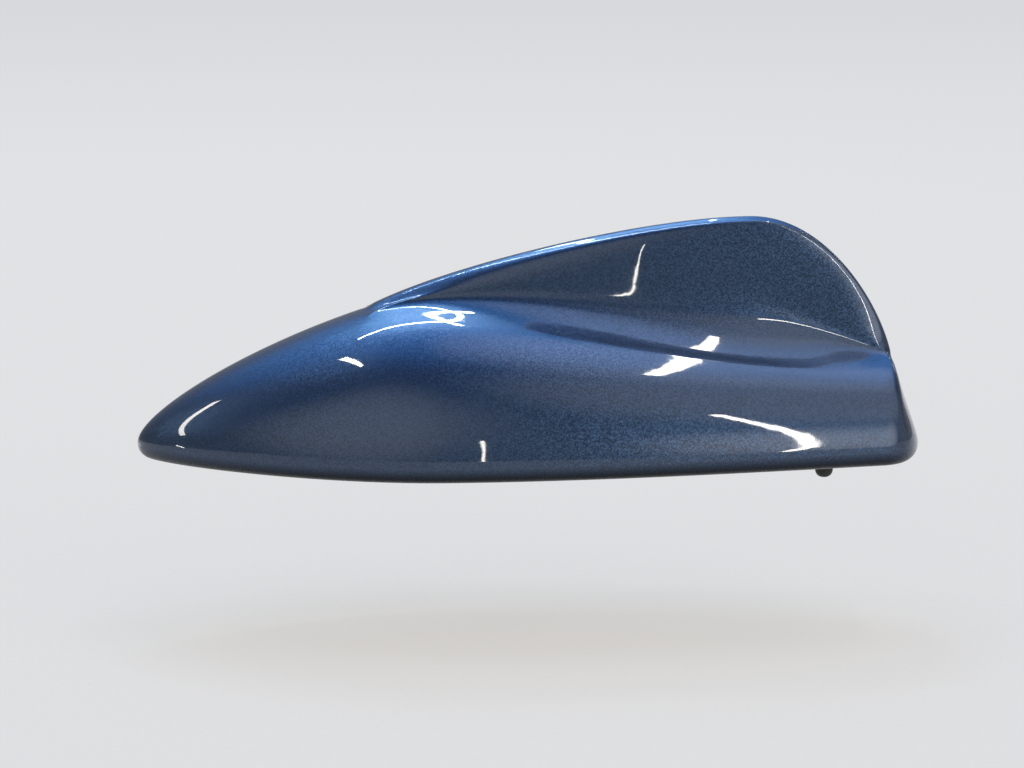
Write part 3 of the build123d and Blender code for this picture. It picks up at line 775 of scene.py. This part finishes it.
# Soft glows on the walls: bearing, height, radius of the bright middle and of the whole, and colour
wall_glows = (
    (42, 6, 4, 23, (2.10, 2.00, 1.85, 1)),
    (58, 48, 6, 32, (0.90, 0.87, 0.80, 1)),
    (-28, 26, 8, 42, (0.74, 0.72, 0.68, 1)),
    (178, 60, 4, 44, (0.04, 0.45, 1.30, 1)),
    (188, 48, 3, 16, (0.30, 0.85, 1.40, 1)),
    (118, 68, 4, 24, (0.85, 0.80, 0.72, 1)),
    (85, 14, 6, 30, (0.32, 0.32, 0.31, 1)),
)
world = bpy.data.worlds.new("studio")
bpy.context.scene.world = world
world.use_nodes = True
nodes, links = world.node_tree.nodes, world.node_tree.links
way = nodes.new("ShaderNodeTexCoord")
axes = nodes.new("ShaderNodeSeparateXYZ")
links.new(way.outputs["Generated"], axes.inputs["Vector"])
room = nodes.new("ShaderNodeValToRGB")
room.color_ramp.elements[0].color = (0.20, 0.21, 0.22, 1)
room.color_ramp.elements[1].color = (0.12, 0.19, 0.33, 1)
links.new(axes.outputs["Z"], room.inputs["Fac"])
light_in = room.outputs["Color"]
for bearing, height, inner, outer, color in wall_glows:
    aside = nodes.new("ShaderNodeVectorMath")
    aside.operation = "DOT_PRODUCT"
    aside.inputs[1].default_value = towards(bearing, height)
    links.new(way.outputs["Generated"], aside.inputs[0])
    fall = nodes.new("ShaderNodeMapRange")
    fall.interpolation_type = "SMOOTHSTEP"
    fall.inputs["From Min"].default_value = math.cos(math.radians(outer))
    fall.inputs["From Max"].default_value = math.cos(math.radians(inner))
    links.new(aside.outputs["Value"], fall.inputs["Value"])
    more = nodes.new("ShaderNodeMix")
    more.data_type = "RGBA"
    more.blend_type = "ADD"
    more.inputs[mix_second].default_value = color
    links.new(fall.outputs["Result"], more.inputs[mix_share])
    links.new(light_in, more.inputs[mix_first])
    light_in = more.outputs[mix_result]
links.new(light_in, nodes["Background"].inputs["Color"])


def lamp(name, spot, start, end, breadth, radiance, color):
    """A strip lamp that a spot of the cover mirrors, between two directions given as bearing and height."""
    lamp_reach = 1.5
    spot = Vector(spot)
    low, high = (spot + lamp_reach * towards(*way) for way in (start, end))
    middle = (low + high) / 2
    data = bpy.data.lights.new(name, "AREA")
    data.shape = "RECTANGLE"
    data.size = breadth
    data.size_y = (high - low).length
    data.energy = radiance * math.pi * data.size * data.size_y
    data.color = color
    light = bpy.data.objects.new(name, data)
    bpy.context.scene.collection.objects.link(light)
    out = (middle - spot).normalized()
    along = (high - low).normalized()
    across = along.cross(out).normalized()
    along = out.cross(across)
    turn = Matrix((across, along, out)).transposed().to_4x4()
    light.matrix_world = Matrix.Translation(middle) @ turn
    light.visible_camera = False


warm = (1.0, 0.95, 0.86)
cool = (0.75, 0.88, 1.0)
tail_flank = (0.055, -0.025, 0.012)
tail_rim = (0.055, -0.025, 0.008)
fin_side = (0.026, -0.005, 0.040)
nose_flank = (-0.066, -0.010, 0.015)
nose_rim = (-0.068, -0.012, 0.004)
brow_side = (-0.035, -0.012, 0.028)
fin_foot_side = (0.036, -0.012, 0.030)
fin_rear_edge = (0.066, 0.0, 0.045)
brow_top = (-0.022, -0.010, 0.030)
lamp("tube_right", tail_flank, (31.4, 0), (33.4, 40), 0.020, 36.0, warm)
lamp("tube_foot", tail_rim, (31.4, 0), (29.6, -6.5), 0.014, 36.0, warm)
lamp("tube_front", fin_side, (5.4, -7), (5.6, 13), 0.010, 28.0, warm)
lamp("tube_nose", nose_flank, (-83.8, 16), (-115, 42.5), 0.055, 15.0, warm)
lamp("tube_low", nose_rim, (-82, 0), (-70, -8.5), 0.020, 30.0, warm)
lamp("tube_brow", brow_side, (-122, 60), (-91.5, 65.6), 0.030, 30.0, warm)
lamp("tube_top", fin_foot_side, (78, 71), (152, 55), 0.024, 30.0, warm)
lamp("tube_tail", fin_rear_edge, (146, 32), (137, 18), 0.015, 20.0, warm)
lamp("window_low", brow_top, (-147, 52), (-188, 50), 0.020, 80.0, cool)
lamp("window_high", brow_top, (-173, 37), (-188.5, 54), 0.020, 60.0, cool)

# Camera: at the angle of the picture, with a long lens, a little above the roof line and turned to the nose.
# The middle of the object lies a little to the right of the picture's middle and above it.
camera_turn = math.radians(-3.06)
camera_height = math.radians(10.0)
camera_reach = 0.8
pixels_per_metre = 4735.5
picture_width = 1024
pixels_right, pixels_up = 16.13, 32.31
object_middle = Vector((0.0025, 0, 0.022))
out = Vector((
    math.sin(camera_turn) * math.cos(camera_height),
    -math.cos(camera_turn) * math.cos(camera_height),
    math.sin(camera_height),
))
right = Vector((math.cos(camera_turn), math.sin(camera_turn), 0))
up = out.cross(right)
aim = object_middle - pixels_right / pixels_per_metre * right - pixels_up / pixels_per_metre * up
data = bpy.data.cameras.new("camera")
data.sensor_fit = "HORIZONTAL"
data.sensor_width = 36
data.lens = data.sensor_width * pixels_per_metre * camera_reach / picture_width
data.clip_start = 0.01
camera = bpy.data.objects.new("camera", data)
bpy.context.scene.collection.objects.link(camera)
turn = Matrix((right, up, out)).transposed().to_4x4()
camera.matrix_world = Matrix.Translation(aim + camera_reach * out) @ turn
bpy.context.scene.camera = camera
bpy.context.scene.view_settings.view_transform = "Standard"
